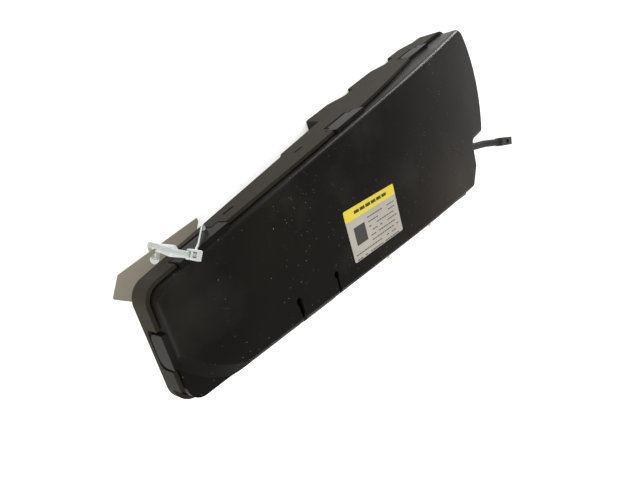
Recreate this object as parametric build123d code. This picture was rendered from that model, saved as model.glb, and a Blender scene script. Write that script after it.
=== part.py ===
from build123d import *
import math
import os

# Side air-bag module, millimetres, +Z up, lying on the feet of its back.
# The origin is on the face of the middle foot. +X runs to the wide end, +Y to the sloped side.

# Case, outer form of the cover's skirt
case_height = 56.0
narrow_end_x = -264.5
hinge_side_y = -57.8
narrow_end_width = 61.1
slope_angle = 12.7
nose_radius = 93.5
nose_centre_x = 29.5
nose_centre_y = 23.0
nose_start_angle = -24.0
end_wall_x = 85.5
end_wall_top_y = -17.0
end_wall_low_y = -41.0
end_chamfer_x = 71.0
corner_radius = 8.5
nose_corner_radius = 12.0
notch_radius = 5.0

# Walls and gaps
cover_wall = 2.2
base_wall = 2.2
skirt_gap = 0.6
skirt_overlap = 3.0
seat_gap = 0.1

# Cover's face and the parting line between cover and base
bow_start_x = -68.0
bow_radius = 1500.0
face_edge_radius = 4.0
rim_height = 50.5
rim_arc_start_x = -148.0
rim_arc_radius = 900.0
rim_low_x = 53.0
hinge_height = 43.0
hinge_band = 8.5

# Back of the base
narrow_back_z = 37.2
step_x = -137.0
step_left_z = 26.2
step_right_z = 22.7
shelf_z = 18.7
deep_x = -84.0
deep_z = 8.0
nose_back_x = 92.0
nose_back_z = 14.0
back_round = 3.0
foot_starts = [-80.5, -22.5, 44.0]
foot_lengths = [42.5, 49.5, 35.0]
foot_ramp = 13.0
foot_lead = 2.0

# Snap tabs on the sloped side, by the middle of each along X
tab_middles = [-228.0, -91.0, 44.0]
tab_width = 34.0
tab_tip_width = 24.0
tab_shoulder = 6.0
tab_depth = 9.6
tab_root = 3.0
tab_side_gap = 1.0
tab_slot_height = 2.7
end_tab_middle_y = -26.5
end_tab_width = 19.0
end_tab_low_z = 42.0
end_tab_gap = 1.6
end_tab_radius = 5.0
vent_slots = [(-200.0, 10.0), (-130.6, 14.0)]
vent_slot_length = 8.0
vent_slot_height = 2.0

# Finger tongue, recess and label on the cover
tongue_left_x = -183.7
tongue_right_x = -147.8
keyhole_y = -43.5
keyhole_radius = 2.4
left_slot_width = 3.4
right_slot_width = 2.0
tongue_proud = 1.6
tongue_margin = 1.2
recess_depth = 4.0
recess_band = 7.0
recess_radius = 60.0
recess_centre_x = -210.7
recess_centre_y = 2.6
label_length = 60.0
label_width = 36.0
label_x = -98.0
label_y = -27.0
label_thickness = 0.2

# Hinge
film_thickness = 0.5
film_height = 7.0
film_length = 70.0
film_middles = [-222.0, -80.0, 20.0]
lip_height = 2.4
lip_start_x = -254.0
lip_end_x = 58.0
cover_stop_gap = 0.3

# Gas generator and its bracket
tube_radius = 12.5
tube_wall = 2.0
tube_start_x = -70.0
tube_length = 98.0
tube_z = 26.8
end_cap_length = 5.0
end_cap_skirt = 1.6
holder_length = 12.0
holder_radius = 10.4
initiator_radius = 5.5
initiator_length = 7.0
pin_radius = 0.5
pin_length = 6.0
pin_spacing = 3.2
gas_hole_radius = 1.6
gas_hole_count = 6
gas_hole_pitch = 5.0
band_width = 12.0
band_thickness = 1.0
bracket_sheet = 1.6
bracket_start_x = -66.0
bracket_length = 92.0
bracket_depth = 13.0
boss_height = 4.0
boss_radius = 9.0
window_length = 22.0
window_height = 14.0
stud_radius = 3.0
stud_spacing = 70.0
stud_middle_x = -23.0
stud_reach = 14.0
stud_head_radius = 6.5
stud_head_height = 1.8
stud_collar_radius = 3.3
stud_collar_reach = 0.3
stud_hole_gap = 0.2
stud_tip_chamfer = 0.8
shield_thickness = 0.8
shield_gap = 0.1
shield_leg = 9.0

# Plug, inner leads and grommet
plug_length = 13.0
plug_radius = 8.5
plug_boss_length = 9.0
lock_size = 5.0
lead_radius = 1.1
lead_spacing = 3.2
grommet_flange_radius = 7.0
grommet_flange = 2.0
grommet_neck_radius = 5.5
grommet_sleeve_radius = 5.2
cable_exit_y = -29.5
cable_exit_z = 17.6

# Folded cushion
cushion_gap = 1.0
cushion_start_y = -19.0
cushion_strap_middles = [-190.0, -60.0, 40.0]
cushion_strap_width = 18.0
cushion_strap_thickness = 0.6
pad_thickness = 6.0
pad_width = 45.0
pad_middle_y = 5.0

# Free harness
cable_radius = 4.0
cable_route = [
    (99.5, -29.5, 17.6),
    (111.5, -29.5, 17.6),
    (134.0, -33.0, 16.7),
    (163.0, -39.0, 12.2),
    (194.0, -44.0, 6.8),
    (221.5, -50.0, 5.0),
    (235.0, -52.8, 5.0),
]
connector_length = 38.0
connector_width = 10.0
connector_height = 8.0
connector_round = 2.0
connector_neck = 8.0
connector_neck_wall = 0.6

# Parts tag
tag_hole_x = -232.0
tag_hole_y = 4.0
tag_left = 31.0
tag_right = 36.0
tag_outer = 5.2
tag_inner = 13.5
tag_turn = 10.5
tag_thickness = 0.6
tag_height = 2.0
tag_clipped_corner = 8.8
tag_slanted_end = 16.5
tag_hole_radius = 3.0

# Cable tie: under the first snap tab, through the tag's hole and up to its head
strap_width = 2.3
strap_thickness = 0.9
strap_bend = 2.2
tie_tab_gap = 0.5
tie_head_size = (6.0, 5.0, 4.5)
tie_head_corner = 1.2
tie_head_turn = -34.0
tie_head_x = -244.5
tie_head_out = 4.0
tie_head_rise = 13.5
tie_leg_spacing = 3.5
tie_floor_z = 1.2
tie_tail_length = 20.0

# Places worked out from the sizes
rim_gap = skirt_gap + base_wall
slope = math.radians(slope_angle)
narrow_top_y = hinge_side_y + narrow_end_width
base_side_y = hinge_side_y - rim_gap
rim_low_z = rim_height - (rim_low_x - rim_arc_start_x) ** 2 / (2 * rim_arc_radius)
nose_x = nose_centre_x + nose_radius
band_radius = tube_radius + seat_gap + band_thickness
bracket_back = base_side_y + base_wall + boss_height + seat_gap
tube_y = bracket_back + bracket_sheet + stud_head_height + seat_gap + band_radius
far = 60.0


def side_y(x):
    """Place of the skirt's sloped side at x."""
    return narrow_top_y + math.tan(slope) * (x - narrow_end_x)


def rim_z(x):
    """Height of the parting line on the sloped side at x."""
    reach = min(max(x - rim_arc_start_x, 0.0), rim_low_x - rim_arc_start_x)
    return rim_height - reach ** 2 / (2 * rim_arc_radius)


def nose_point(angle):
    turn = math.radians(angle)
    return (nose_centre_x + nose_radius * math.cos(turn), nose_centre_y + nose_radius * math.sin(turn))


def nose_end_angle():
    """Angle where the nose's arc meets the sloped side."""
    height = (side_y(nose_centre_x) - nose_centre_y) * math.cos(slope)
    return math.degrees(slope + math.asin(height / nose_radius))


def plan(grow):
    """Plan of the case, grown outward from the cover's skirt."""
    low = nose_point(nose_start_angle)
    high = nose_point(nose_end_angle())
    middle = nose_point((nose_start_angle + nose_end_angle()) / 2)
    with BuildSketch() as sketch:
        with BuildLine():
            start = (narrow_end_x, hinge_side_y)
            Polyline(
                high,
                (narrow_end_x, narrow_top_y),
                start,
                (end_chamfer_x, hinge_side_y),
                (end_wall_x, end_wall_low_y),
                (end_wall_x, end_wall_top_y),
                low,
            )
            ThreePointArc(low, middle, high)
        make_face()
        corners = sketch.vertices()
        fillet(corners.filter_by(lambda v: v.X < narrow_end_x + 1), radius=corner_radius)
        top = sketch.vertices().filter_by(lambda v: v.Y > high[1] - 1)
        fillet(top, radius=nose_corner_radius)
        rest = sketch.vertices().filter_by(
            lambda v: v.X > end_chamfer_x - 1 and v.Y < nose_centre_y
        )
        fillet(rest, radius=notch_radius)
        if grow:
            offset(amount=grow, kind=Kind.ARC, mode=Mode.REPLACE)
    return sketch.sketch


def across(face):
    """Extrude a side profile drawn in XZ across the whole case."""
    return extrude(Plane.XZ * face, amount=2 * far + nose_radius, both=True)


def under(raise_by=0.0, feet=True):
    """Everything below the back of the base, with the back raised by a wall."""
    left = narrow_end_x - far
    points = [(left, narrow_back_z + 1.0), (narrow_end_x - rim_gap, narrow_back_z)]
    points += [(step_x - 2, step_left_z), (step_x + 2, step_right_z), (deep_x - 2, shelf_z)]
    if feet:
        for start, length in zip(foot_starts, foot_lengths):
            first = start == foot_starts[0]
            points += [] if first else [(start - foot_lead, deep_z)]
            points += [(start, 0.0), (start + length - foot_ramp, 0.0), (start + length, deep_z)]
    else:
        points += [(foot_starts[0], deep_z)]
    points += [(nose_back_x, deep_z), (nose_back_x + 6, nose_back_z), (nose_x + far, nose_back_z)]
    with BuildSketch() as sketch:
        with BuildLine():
            Polyline(*points, (nose_x + far, -far), (left, -far), close=True)
        make_face()
        inner = sketch.vertices().filter_by(
            lambda v: v.Y > -1 and narrow_end_x < v.X < nose_x and abs(v.Y - narrow_back_z) > 0.5
        )
        fillet(inner, radius=back_round)
        if raise_by:
            offset(amount=raise_by, kind=Kind.ARC, mode=Mode.REPLACE)
    return across(sketch.sketch)


def above_rim(drop=0.0):
    """Everything above the parting line on the sloped side, lowered by drop."""
    low_x = rim_low_x
    middle_x = (rim_arc_start_x + low_x) / 2
    with BuildSketch() as sketch:
        with BuildLine():
            Line((narrow_end_x - far, rim_height), (rim_arc_start_x, rim_height))
            ThreePointArc(
                (rim_arc_start_x, rim_height), (middle_x, rim_z(middle_x)), (low_x, rim_low_z)
            )
            Polyline(
                (low_x, rim_low_z), (nose_x + far, rim_low_z), (nose_x + far, case_height + far),
                (narrow_end_x - far, case_height + far), (narrow_end_x - far, rim_height),
            )
        make_face()
    return Pos(0, 0, -drop) * across(sketch.sketch)


def hinge_side(limit_y):
    """Everything on the hinge side of limit_y."""
    width = 2 * far
    return Pos((narrow_end_x + nose_x) / 2, limit_y - width / 2, 0) * Box(
        nose_x - narrow_end_x + 4 * far, width, 8 * far
    )


def above(height):
    return Pos((narrow_end_x + nose_x) / 2, 0, height + 2 * far) * Box(
        nose_x - narrow_end_x + 4 * far, 12 * far, 4 * far
    )


def lid_space(drop=0.0, hinge_drop=0.0, split_y=0.0):
    """The side of the parting line that belongs to the cover."""
    split = hinge_side_y + hinge_band + split_y
    return (above_rim(drop) - hinge_side(split)) + (above(hinge_height - hinge_drop) & hinge_side(split))


def under_face(drop):
    """Everything below the cover's bowed face, lowered by drop."""
    end_x = nose_x + far / 2
    middle_x = (bow_start_x + end_x) / 2

    def face_z(x):
        return case_height - drop - (x - bow_start_x) ** 2 / (2 * bow_radius)

    with BuildSketch() as sketch:
        with BuildLine():
            left = narrow_end_x - far
            Line((left, face_z(bow_start_x)), (bow_start_x, face_z(bow_start_x)))
            ThreePointArc(
                (bow_start_x, face_z(bow_start_x)), (middle_x, face_z(middle_x)), (end_x, face_z(end_x))
            )
            Polyline((end_x, face_z(end_x)), (end_x, -far), (left, -far), (left, face_z(bow_start_x)))
        make_face()
    return across(sketch.sketch)


def upper_frame(x, grow):
    """Frame on the sloped side, moved outward by grow: X along the side, Y outward, Z up."""
    outward = Vector(-math.sin(slope), math.cos(slope), 0) * grow
    return Location(Plane(
        origin=Vector(x, side_y(x), 0) + outward,
        x_dir=(math.cos(slope), math.sin(slope), 0),
        z_dir=(0, 0, 1),
    ))


def side_plate(x, width, low, high, inner, outer):
    """Upright plate on the sloped side, between two distances from the skirt."""
    block = Pos(0, (inner + outer) / 2, (low + high) / 2) * Box(width, outer - inner, high - low)
    return upper_frame(x, 0) * block


def tab_form(x, gap, extra_depth):
    """Shouldered tab of the cover on the sloped side, or its notch in the base."""
    top = rim_z(x) + tab_root + 4 * gap
    low = rim_z(x) - tab_depth - extra_depth
    reach = rim_gap + gap
    inner = -gap if gap else -cover_wall / 2
    wide = side_plate(x, tab_width + 2 * gap, rim_z(x) - tab_shoulder - gap, top, inner, reach)
    tip = side_plate(x, tab_tip_width + 2 * gap, low, top, inner, reach)
    return wide + tip


def end_tab_form(gap):
    """Cover's tab on the narrow end, or its notch in the base."""
    low = end_tab_low_z - gap
    high = rim_height + tab_root + 4 * gap
    inner = cover_wall / 2 + gap
    width = end_tab_width + 2 * gap
    block = Pos(
        narrow_end_x + (inner - rim_gap - gap) / 2, end_tab_middle_y, (low + high) / 2
    ) * Box(inner + rim_gap + gap, width, high - low)
    low_edges = block.edges().filter_by(Axis.X).group_by(Axis.Z)[0]
    return fillet(low_edges, end_tab_radius - gap)


def make_housing_base():
    body = extrude(plan(rim_gap), amount=case_height)
    body -= under()
    body -= lid_space()
    hollow = extrude(plan(rim_gap - base_wall), amount=2 * case_height) - under(base_wall)
    body -= hollow
    for x in tab_middles:
        body -= tab_form(x, tab_side_gap, tab_slot_height)
    body -= end_tab_form(end_tab_gap)
    for x, drop in vent_slots:
        middle = rim_z(x) - drop
        body -= side_plate(
            x, vent_slot_length, middle - vent_slot_height / 2, middle + vent_slot_height / 2,
            -1, rim_gap + 1,
        )
    for x in stud_places():
        inner_y = base_side_y + base_wall
        body += Pos(x, inner_y + boss_height / 2 - base_wall / 4, tube_z) * Rot(90, 0, 0) * Cylinder(
            boss_radius, boss_height + base_wall / 2
        )
        body -= Pos(x, inner_y, tube_z) * Rot(90, 0, 0) * Cylinder(
            stud_collar_radius + stud_hole_gap, 4 * (base_wall + boss_height)
        )
    body -= Pos(end_wall_x, cable_exit_y, cable_exit_z) * Rot(0, 90, 0) * Cylinder(
        grommet_neck_radius, 6 * base_wall
    )
    for middle in film_middles:
        body -= film_block(middle, film_length + 1, 0.01)
    return body


def stud_places():
    return [stud_middle_x - stud_spacing / 2, stud_middle_x + stud_spacing / 2]


def film_block(middle, length, extra):
    """Thin strap on the outside of the hinge side, with its top on the hinge line."""
    thickness = film_thickness + extra
    return Pos(
        middle, base_side_y + thickness / 2, hinge_height - film_height / 2
    ) * Box(length, thickness, film_height + 2 * extra)


def keyhole(x, width, lean):
    """Slot from the tongue's corner hole out through the hinge side."""
    hole = Cylinder(keyhole_radius, 4 * case_height)
    run = keyhole_y - base_side_y + far
    slot = Rot(0, 0, lean) * Pos(0, -run / 2, 0) * Box(width, run, 4 * case_height)
    return Pos(x, keyhole_y, case_height) * (hole + slot)


def corner_recess():
    """Lowered corner of the cover's face, beyond a curved sloping band."""
    block = Pos(
        recess_centre_x - far, recess_centre_y - far, case_height - recess_depth / 2 + 1
    ) * Box(2 * far, 2 * far, recess_depth + 2)
    low_radius = recess_radius + recess_band
    rise = recess_band / recess_depth
    keep = Cone(low_radius, recess_radius - 2 * rise, recess_depth + 2)
    keep = Pos(recess_centre_x, recess_centre_y, case_height - recess_depth / 2 + 1) * keep
    return block - keep


def make_cover_shell():
    outer = extrude(plan(0), amount=2 * case_height) & under_face(0)
    face_edges = outer.edges().filter_by(lambda e: e.center().Z > case_height - face_drop(e.center().X) - 1)
    outer = fillet(face_edges, face_edge_radius)
    outer -= corner_recess()
    inner = extrude(plan(-cover_wall), amount=2 * case_height) & under_face(cover_wall)
    inner -= Pos(0, 0, -cover_wall) * grown_recess()
    shell = (outer - inner) & lid_space(skirt_overlap, skirt_overlap, skirt_gap)
    shell += hinge_lip()
    for x in tab_middles:
        shell += tab_form(x, 0, 0)
    shell += end_tab_form(0)
    shell += tongue_skirt()
    shell -= keyhole(tongue_left_x, left_slot_width, 4)
    shell -= keyhole(tongue_right_x, right_slot_width, 0)
    return shell


def face_drop(x):
    return max(x - bow_start_x, 0.0) ** 2 / (2 * bow_radius)


def grown_recess():
    """The recess as the inside of the shell sees it, a wall further out."""
    low = case_height - recess_depth
    block = Pos(
        recess_centre_x - far, recess_centre_y - far, low + far / 2
    ) * Box(2 * far, 2 * far, far)
    keep = Pos(recess_centre_x, recess_centre_y, low + far / 2) * Cylinder(recess_radius, far)
    return block - keep


def hinge_lip():
    """Rib of the cover that stands over the base's rim along the hinge."""
    length = lip_end_x - lip_start_x
    low = hinge_height + cover_stop_gap
    depth = rim_gap + cover_wall / 2
    return Pos(
        (lip_start_x + lip_end_x) / 2, base_side_y + depth / 2, low + lip_height / 2
    ) * Box(length, depth, lip_height)


def tongue_skirt():
    """Outer plate of the tongue between the keyholes."""
    left = tongue_left_x + left_slot_width / 2 + tongue_margin
    right = tongue_right_x - right_slot_width / 2 - tongue_margin
    low = hinge_height + cover_stop_gap
    high = case_height - face_edge_radius
    depth = tongue_proud + cover_wall / 2
    block = Pos(
        (left + right) / 2, hinge_side_y - tongue_proud + depth / 2, (low + high) / 2
    ) * Box(right - left, depth, high - low)
    edge = block.edges().filter_by(Axis.X).group_by(Axis.Y)[0].group_by(Axis.Z)[-1]
    return fillet(edge, tongue_proud * 0.9)


def make_product_label():
    block = Pos(
        label_x, label_y, case_height + seat_gap / 2 + label_thickness / 2
    ) * Box(label_length, label_width, label_thickness)
    return block


def tube_frame(x):
    return Pos(x, tube_y, tube_z) * Rot(0, 90, 0)


def make_inflator_tube():
    middle = tube_start_x + tube_length / 2
    body = tube_frame(middle) * (
        Cylinder(tube_radius, tube_length) - Cylinder(tube_radius - tube_wall, tube_length)
    )
    return body


def make_inflator_end_cap():
    radius = tube_radius - tube_wall - seat_gap
    plug = Cylinder(radius, end_cap_skirt * 4)
    dome = Pos(0, 0, -end_cap_length / 2 - end_cap_skirt * 2) * Cone(
        tube_radius, tube_radius - 3, end_cap_length, rotation=(180, 0, 0)
    )
    return tube_frame(tube_start_x + end_cap_skirt * 2) * (plug + dome)


def make_diffuser_cap():
    """Gas outlet collar on the generator's far end, with a ring of ports."""
    length = gas_hole_pitch * 3
    outer = tube_radius
    shell = Cylinder(outer, length) - Cylinder(outer - tube_wall, length)
    port = Rot(0, 90, 0) * Cylinder(gas_hole_radius, 4 * tube_radius)
    for index in range(gas_hole_count // 2):
        shell -= Rot(0, 0, index * 360 / gas_hole_count) * port
    return tube_frame(tube_start_x + tube_length + length / 2) * shell


def holder_start():
    return tube_start_x + tube_length + 3 * gas_hole_pitch


def make_initiator_holder():
    flange = Pos(0, 0, holder_length / 6) * Cylinder(tube_radius, holder_length / 3)
    boss = Pos(0, 0, holder_length * 2 / 3) * Cylinder(holder_radius, holder_length * 2 / 3)
    socket = Pos(0, 0, holder_length * 0.75) * Cylinder(plug_radius + seat_gap, holder_length / 2)
    seat = Pos(0, 0, holder_length / 2) * Cylinder(initiator_radius + seat_gap, 2 * holder_length)
    return tube_frame(holder_start()) * (flange + boss - socket - seat)


def make_initiator():
    body = Pos(0, 0, holder_length / 2 - initiator_length / 2) * Cylinder(initiator_radius, initiator_length)
    for side in (-1, 1):
        body += Pos(side * pin_spacing / 2, 0, holder_length / 2 + pin_length / 2) * Cylinder(
            pin_radius, pin_length
        )
    return tube_frame(holder_start()) * body


def make_clamp_band(x):
    inner = tube_radius + seat_gap
    ring = Cylinder(inner + band_thickness, band_width) - Cylinder(inner, band_width)
    return tube_frame(x) * ring


def bracket_half():
    """Half of the channel's inside height: the bands fit between its flanges."""
    return tube_radius + band_thickness + 2 * seat_gap


def make_inflator_bracket():
    half = bracket_half() + bracket_sheet
    back = bracket_back
    middle = bracket_start_x + bracket_length / 2
    outer = Pos(middle, back + bracket_depth / 2, tube_z) * Box(bracket_length, bracket_depth, 2 * half)
    edges = outer.edges().filter_by(Axis.X).group_by(Axis.Y)[0]
    outer = fillet(edges, 2 * bracket_sheet)
    inner = Pos(middle, back + bracket_sheet + bracket_depth / 2, tube_z) * Box(
        2 * bracket_length, bracket_depth, 2 * bracket_half()
    )
    body = outer - inner
    for x in stud_places():
        body -= Pos(x, back, tube_z) * Rot(90, 0, 0) * Cylinder(stud_collar_radius, 4 * bracket_sheet)
    window = Box(window_length, 4 * bracket_sheet, window_height)
    body -= Pos(stud_middle_x, back, tube_z) * window
    return body


def make_stud(x):
    """Stud with its head inside the channel, a collar through the base and its shank outside."""
    head_face = bracket_back + bracket_sheet
    collar_end = base_side_y - stud_collar_reach
    tip = base_side_y - stud_reach
    head = Pos(x, head_face + stud_head_height / 2, tube_z) * Rot(90, 0, 0) * Cylinder(
        stud_head_radius, stud_head_height
    )
    collar = Pos(x, (head_face + collar_end) / 2, tube_z) * Rot(90, 0, 0) * Cylinder(
        stud_collar_radius, head_face - collar_end
    )
    shank = Pos(x, (collar_end + tip) / 2, tube_z) * Rot(90, 0, 0) * Cylinder(
        stud_radius, collar_end - tip
    )
    outer_edge = shank.edges().group_by(Axis.Y)[0]
    return head + collar + chamfer(outer_edge, stud_tip_chamfer)


def make_heat_shield():
    inner = bracket_half() + bracket_sheet + shield_gap
    outer = inner + shield_thickness
    length = bracket_length - 2 * band_width
    half_ring = Cylinder(outer, length) - Cylinder(inner, length)
    half_ring &= Pos(0, outer, 0) * Box(4 * outer, 2 * outer, 2 * length)
    legs = Pos(0, -shield_leg / 2, 0) * (
        Box(2 * outer, shield_leg, length) - Box(2 * inner, 2 * shield_leg, 2 * length)
    )
    middle = bracket_start_x + bracket_length / 2
    return tube_frame(middle) * (half_ring + legs)


def plug_start():
    return holder_start() + holder_length / 2 + seat_gap


def make_squib_plug():
    socket = holder_length / 2 - seat_gap
    nose = Pos(0, 0, socket / 2) * Cylinder(plug_radius, socket)
    for side in (-1, 1):
        nose -= Pos(side * pin_spacing / 2, 0, 0) * Cylinder(pin_radius + seat_gap, 4 * pin_length)
    head = Pos(0, 0, socket + plug_length / 2) * Box(1.6 * plug_radius, 1.9 * plug_radius, plug_length)
    head = fillet(head.edges().filter_by(Axis.Z), 3)
    return tube_frame(plug_start()) * (nose + head)


def plug_end():
    return plug_start() + holder_length / 2 - seat_gap + plug_length


def make_plug_lock():
    """Slide lock on top of the plug."""
    height = 0.8 * plug_radius
    block = Box(lock_size, lock_size + 4, lock_size / 2)
    return Pos(
        plug_end() - plug_length / 2, tube_y, tube_z + height + lock_size / 4
    ) * block


def make_lead(side):
    """One wire from the plug to the grommet's inner face."""
    along = Vector(1, 0, 0)
    start = Vector(plug_end(), tube_y, tube_z)
    end = Vector(end_wall_x + skirt_gap - grommet_flange, cable_exit_y, cable_exit_z)
    aside = along.cross(end - start).normalized() * (side * lead_spacing / 2)
    lead_in = (end - start).X / 3
    points = [start, start + along * lead_in, end - along * lead_in, end]
    with BuildLine() as line:
        FilletPolyline(*[point + aside for point in points], radius=bend_radii(points))
    with BuildSketch(Plane(origin=start + aside, z_dir=along)) as section:
        Circle(lead_radius)
    return sweep(section.sketch, path=line.wire())


def make_grommet():
    wall_in = end_wall_x + skirt_gap
    wall_out = end_wall_x + rim_gap
    start = Vector(wall_in, cable_exit_y, cable_exit_z)
    frame = Pos(*start) * Rot(0, 90, 0)
    wall = wall_out - wall_in
    inner = Pos(0, 0, -grommet_flange / 2) * Cylinder(grommet_flange_radius, grommet_flange)
    neck = Pos(0, 0, wall / 2) * Cylinder(grommet_neck_radius, wall)
    outer = Pos(0, 0, wall + grommet_flange / 2) * Cylinder(grommet_flange_radius, grommet_flange)
    length = cable_route[0][0] - wall_out - grommet_flange
    sleeve = Pos(0, 0, wall + grommet_flange + length / 2) * Cone(
        grommet_neck_radius + 0.8, grommet_sleeve_radius, length
    )
    return frame * (inner + neck + outer + sleeve)


def cushion_form(grow):
    """Folded cushion beside the gas generator, grown by a strap's gap or thickness."""
    inset = skirt_gap + cover_wall + 4 * cushion_gap - grow
    body = extrude(plan(skirt_gap - inset), amount=2 * case_height)
    body &= under_face(cover_wall + recess_depth + cushion_gap - grow)
    body -= under(base_wall + 2 * cushion_gap - grow, feet=False)
    body -= hinge_side(cushion_start_y - grow)
    return body


def make_cushion():
    return cushion_form(0)


def make_cushion_strap(x):
    slab = Pos(x, 0, 0) * Box(cushion_strap_width, 12 * far, 12 * far)
    return (cushion_form(seat_gap + cushion_strap_thickness) - cushion_form(seat_gap)) & slab


def make_foam_pad(start, length):
    """Foam block in the hollow of a foot."""
    run = length - foot_ramp - 4 * base_wall
    middle = start + base_wall + cushion_gap + run / 2
    return Pos(middle, pad_middle_y, base_wall + seat_gap + pad_thickness / 2) * Box(
        run, pad_width, pad_thickness
    )


def bend_radii(points):
    """Largest tangent radius at each corner of a cord's route."""
    radii = []
    for before, corner, after in zip(points, points[1:], points[2:]):
        run_in = Vector(corner) - Vector(before)
        run_out = Vector(after) - Vector(corner)
        turn = math.radians(run_in.get_angle(run_out))
        radii.append(0.45 * min(run_in.length, run_out.length) / math.tan(turn / 2))
    return radii


def make_harness_cable():
    radii = bend_radii(cable_route)
    print("harness cable radii", [round(r, 1) for r in radii])
    with BuildLine() as line:
        FilletPolyline(*cable_route, radius=radii)
    path = line.wire()
    with BuildSketch(Plane(origin=cable_route[0], z_dir=path % 0)) as section:
        Circle(cable_radius)
    body = sweep(section.sketch, path=path)
    ideal = math.pi * cable_radius ** 2 * path.length
    print("harness cable length", round(path.length, 1), "volume ratio", round(body.volume / ideal, 4))
    return body


def make_harness_connector():
    end = Vector(*cable_route[-1])
    run = end - Vector(*cable_route[-2])
    turn = math.degrees(math.atan2(run.Y, run.X))
    neck = Pos(connector_neck / 2, 0, 0) * Rot(0, 90, 0) * Cylinder(
        cable_radius + connector_neck_wall, connector_neck
    )
    length = connector_length - connector_neck
    body = Pos(connector_neck + length / 2, 0, 0) * Box(length, connector_width, connector_height)
    body = fillet(body.edges().filter_by(Axis.X), connector_round)
    return Pos(*end) * Rot(0, 0, turn) * (neck + body)


def make_parts_tag():
    """Card with two clipped corners, a slanted end and a hole near its outer long edge."""
    with BuildSketch() as sketch:
        with BuildLine():
            Polyline(
                (tag_right, tag_outer),
                (tag_clipped_corner - tag_left, tag_outer),
                (-tag_left, tag_outer - tag_clipped_corner),
                (-tag_left, tag_clipped_corner - tag_inner),
                (tag_clipped_corner - tag_left, -tag_inner),
                (tag_right - tag_slanted_end, -tag_inner),
                (tag_right, tag_slanted_end - tag_inner),
                close=True,
            )
        make_face()
        Circle(tag_hole_radius, mode=Mode.SUBTRACT)
    card = extrude(sketch.sketch, amount=tag_thickness)
    return Pos(tag_hole_x, tag_hole_y, tag_height) * Rot(0, 0, tag_turn) * card


def outside(x, out, z):
    """Point beside the sloped side of the base, a distance out from its face."""
    return Vector(x, side_y(x) + rim_gap / math.cos(slope) + out, z)


def tie_head_low():
    """Underside of the tie's head, between its two legs."""
    return outside(tie_head_x, tie_head_out, rim_height + tie_head_rise)


def tie_route():
    """The tie's middle line, from its head round the first tab and through the tag's hole."""
    middle = tab_middles[0]
    beside = tab_tip_width / 2 - strap_width
    slot_z = rim_z(middle) - tab_depth - tie_tab_gap - strap_thickness / 2
    head = tie_head_low()
    leg = Vector(tie_leg_spacing / 2, 0, 0)
    tag_hole = Vector(tag_hole_x, tag_hole_y, tie_floor_z)
    into = outside(middle + beside, tie_head_out - 1, slot_z)
    out = outside(middle - beside, tie_head_out - 1, slot_z)
    inward = Vector(0, -tie_head_out - base_wall - 2 * strap_width, 0)
    low = outside(tag_hole_x, 0, tie_floor_z)
    return [
        head + leg,
        head + leg + Vector(beside, 0, -beside),
        into,
        into + inward,
        out + inward,
        out,
        low,
        tag_hole,
        tag_hole + Vector(0, 0, 2 * strap_width),
        outside(tie_head_x + 2, tie_head_out, narrow_back_z - tab_shoulder),
        head - leg - Vector(0, 0, tie_head_rise),
        head - leg,
    ]


def flat_under_tag(points):
    """Direction of the strap's width at its start that lays it flat beneath the tag."""
    axis = Vector(1, 0, 0)
    last = points.index(Vector(tag_hole_x, tag_hole_y, tie_floor_z))
    for index in range(last - 1, 0, -1):
        after = points[index + 1] - points[index]
        before = points[index] - points[index - 1]
        axis = axis.rotate(Axis((0, 0, 0), after.cross(before)), after.get_angle(before))
    return axis


def make_tie_strap():
    points = tie_route()
    with BuildLine() as line:
        FilletPolyline(*points, radius=[min(strap_bend, r) for r in bend_radii(points)])
    path = line.wire()
    with BuildSketch(Plane(origin=points[0], x_dir=flat_under_tag(points), z_dir=path % 0)) as section:
        Rectangle(strap_width, strap_thickness)
    return sweep(section.sketch, path=path)


def tie_head_place():
    rise = seat_gap + strap_thickness + tie_head_size[2] / 2
    return Pos(*(tie_head_low() + Vector(0, 0, rise))) * Rot(0, 0, tie_head_turn)


def make_tie_head():
    block = Box(*tie_head_size)
    return tie_head_place() * fillet(block.edges().filter_by(Axis.Z), tie_head_corner)


def make_tie_tail():
    """Free end of the tie, out of the head's far side."""
    middle = -(tie_head_size[0] + tie_tail_length) / 2
    return tie_head_place() * Pos(middle, 0, 0) * Box(tie_tail_length, strap_width, strap_thickness)


parts = {
    "housing_base": make_housing_base(),
    "cover_shell": make_cover_shell(),
    "product_label": make_product_label(),
    "inflator_tube": make_inflator_tube(),
    "inflator_end_cap": make_inflator_end_cap(),
    "diffuser_cap": make_diffuser_cap(),
    "initiator_holder": make_initiator_holder(),
    "initiator": make_initiator(),
    "inflator_bracket": make_inflator_bracket(),
    "heat_shield": make_heat_shield(),
    "squib_plug": make_squib_plug(),
    "plug_lock": make_plug_lock(),
    "cable_grommet": make_grommet(),
    "folded_cushion": make_cushion(),
    "harness_cable": make_harness_cable(),
    "harness_connector": make_harness_connector(),
    "parts_tag": make_parts_tag(),
    "tie_strap": make_tie_strap(),
    "tie_head": make_tie_head(),
    "tie_tail": make_tie_tail(),
}
for index, x in enumerate(film_middles):
    parts[f"hinge_film_{index + 1}"] = film_block(x, film_length, 0)
for index, x in enumerate(stud_places()):
    parts[f"clamp_band_{index + 1}"] = make_clamp_band(x)
for index, x in enumerate(stud_places()):
    parts[f"mounting_stud_{index + 1}"] = make_stud(x)
for index, side in enumerate((-1, 1)):
    parts[f"inner_lead_{index + 1}"] = make_lead(side)
for index, x in enumerate(cushion_strap_middles):
    parts[f"cushion_strap_{index + 1}"] = make_cushion_strap(x)
for index, (start, length) in enumerate(zip(foot_starts, foot_lengths)):
    parts[f"foam_pad_{index + 1}"] = make_foam_pad(start, length)

os.makedirs("parts", exist_ok=True)
for name, solid in parts.items():
    export_step(solid, f"parts/{name}.step")
    print(name, len(solid.solids()), round(solid.volume, 1))
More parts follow.
